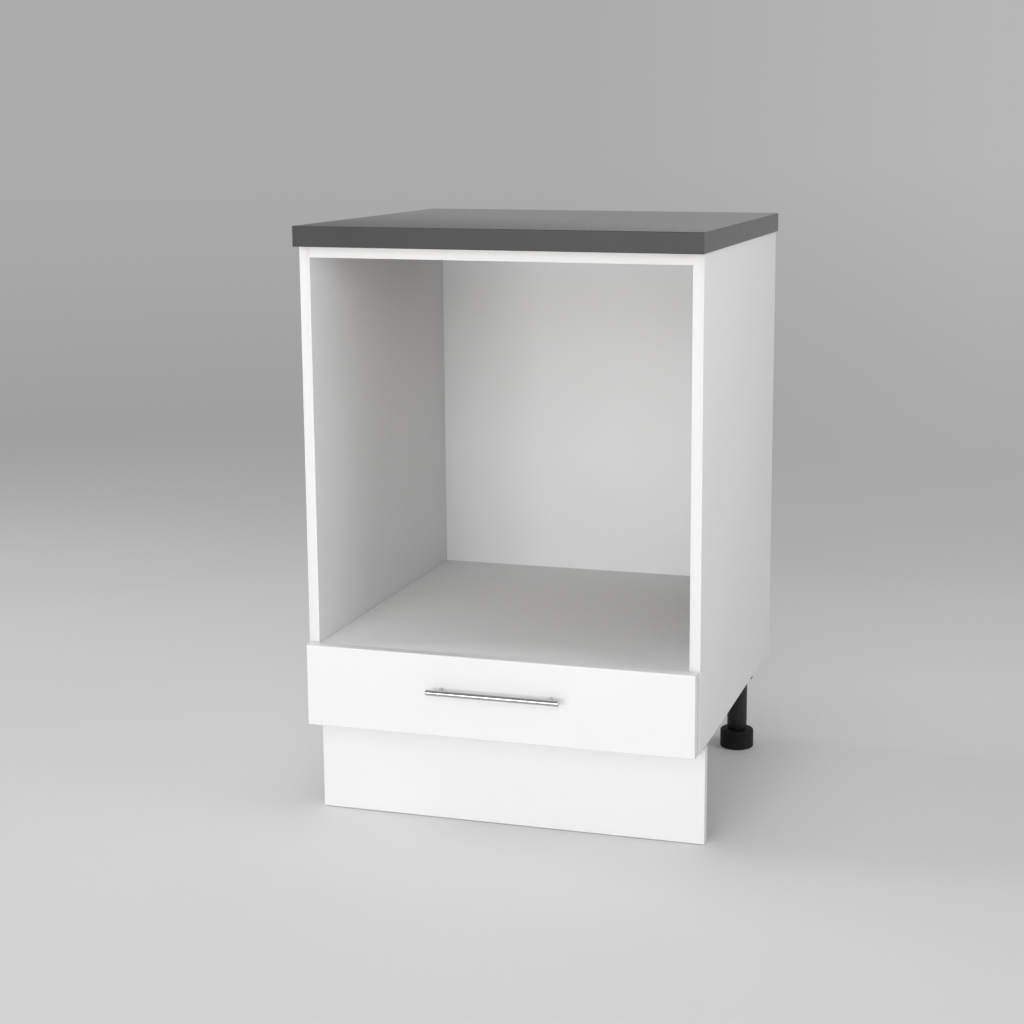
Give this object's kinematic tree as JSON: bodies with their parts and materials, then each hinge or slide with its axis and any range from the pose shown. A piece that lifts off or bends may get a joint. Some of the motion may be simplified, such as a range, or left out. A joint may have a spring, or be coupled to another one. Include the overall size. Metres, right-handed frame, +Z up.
{
  "type": "oven base cabinet",
  "caption": "Floor-standing kitchen base unit with an open niche for a built-in oven, a low drawer on roller runners, a clip-on plinth, adjustable legs and its own worktop.",
  "frame": {"origin": "on the floor, in the middle of the width and of the whole depth, handle included", "axes": "+X to the right seen from the front, +Y from the front to the wall, +Z up"},
  "size_m": [0.606, 0.6022, 0.896],
  "materials": {
    "white_board": "chipboard with a smooth white melamine face",
    "thin_board": "3 mm fibreboard, white on the face that shows",
    "white_front": "white board with lightly rounded edges",
    "worktop_laminate": "chipboard with a dark grey, finely textured laminate",
    "worktop_edging": "dark grey plastic edge band",
    "handle_steel": "brushed steel bar",
    "zinc_steel": "bright zinc-plated steel",
    "coated_steel": "white coated steel sheet",
    "white_nylon": "natural white nylon",
    "black_plastic": "black moulded plastic",
    "clear_rubber": "soft translucent bumper"
  },
  "bodies": {
    "carcass": {"side_panel_left": "white_board", "side_panel_right": "white_board", "bottom_panel": "white_board", "oven_shelf": "white_board", "top_rail_front": "white_board", "top_rail_rear": "white_board", "back_panel": "thin_board", "worktop": "worktop_laminate", "worktop_edging_front": "worktop_edging", "worktop_edging_left": "worktop_edging", "worktop_edging_right": "worktop_edging", "leg_sockets": "black_plastic", "leg_tubes": "black_plastic", "channel_rail_left": "coated_steel", "channel_rail_right": "coated_steel", "front_roller_pins": "zinc_steel"},
    "drawer": {"drawer_side_left": "white_board", "drawer_side_right": "white_board", "drawer_box_front": "white_board", "drawer_box_back": "white_board", "drawer_bottom": "thin_board", "drawer_front": "white_front", "drawer_bumpers": "clear_rubber", "handle_bar": "handle_steel", "handle_posts": "handle_steel", "handle_screws": "zinc_steel", "drawer_rail_left": "coated_steel", "drawer_rail_right": "coated_steel", "rear_roller_pins": "zinc_steel"},
    "front_roller_pair": {"front_rollers": "white_nylon"},
    "rear_roller_pair": {"rear_rollers": "white_nylon"},
    "foot_front_left": {"leg_foot_front_left": "black_plastic"},
    "foot_front_right": {"leg_foot_front_right": "black_plastic"},
    "foot_rear_left": {"leg_foot_rear_left": "black_plastic"},
    "foot_rear_right": {"leg_foot_rear_right": "black_plastic"},
    "plinth": {"plinth_panel": "white_front", "plinth_clips": "black_plastic"}
  },
  "joints": [
    {"name": "drawer_slide", "type": "slide", "parent": "carcass", "child": "drawer", "axis": [0, -1, 0], "range_m": [0, 0.38]},
    {"name": "front_rollers_turn", "type": "hinge", "parent": "carcass", "child": "front_roller_pair", "pos_m": [0, -0.23688, 0.1857], "axis": [1, 0, 0], "range_deg": [0, 2000]},
    {"name": "rear_rollers_turn", "type": "hinge", "parent": "drawer", "child": "rear_roller_pair", "pos_m": [0, 0.22412, 0.1825], "axis": [1, 0, 0], "range_deg": [0, 2000]},
    {"name": "foot_front_left_height", "type": "slide", "parent": "carcass", "child": "foot_front_left", "axis": [0, 0, -1], "range_m": [0, 0.02]},
    {"name": "foot_front_right_height", "type": "slide", "parent": "carcass", "child": "foot_front_right", "axis": [0, 0, -1], "range_m": [0, 0.02]},
    {"name": "foot_rear_left_height", "type": "slide", "parent": "carcass", "child": "foot_rear_left", "axis": [0, 0, -1], "range_m": [0, 0.02]},
    {"name": "foot_rear_right_height", "type": "slide", "parent": "carcass", "child": "foot_rear_right", "axis": [0, 0, -1], "range_m": [0, 0.02]},
    {"name": "plinth_pull", "type": "slide", "parent": "carcass", "child": "plinth", "axis": [0, -1, 0], "range_m": [0, 0.06]}
  ],
  "couplings": [
    {"joint": "front_rollers_turn", "follows": "drawer_slide", "rad_per_m": 90.909},
    {"joint": "rear_rollers_turn", "follows": "drawer_slide", "rad_per_m": 90.909}
  ]
}
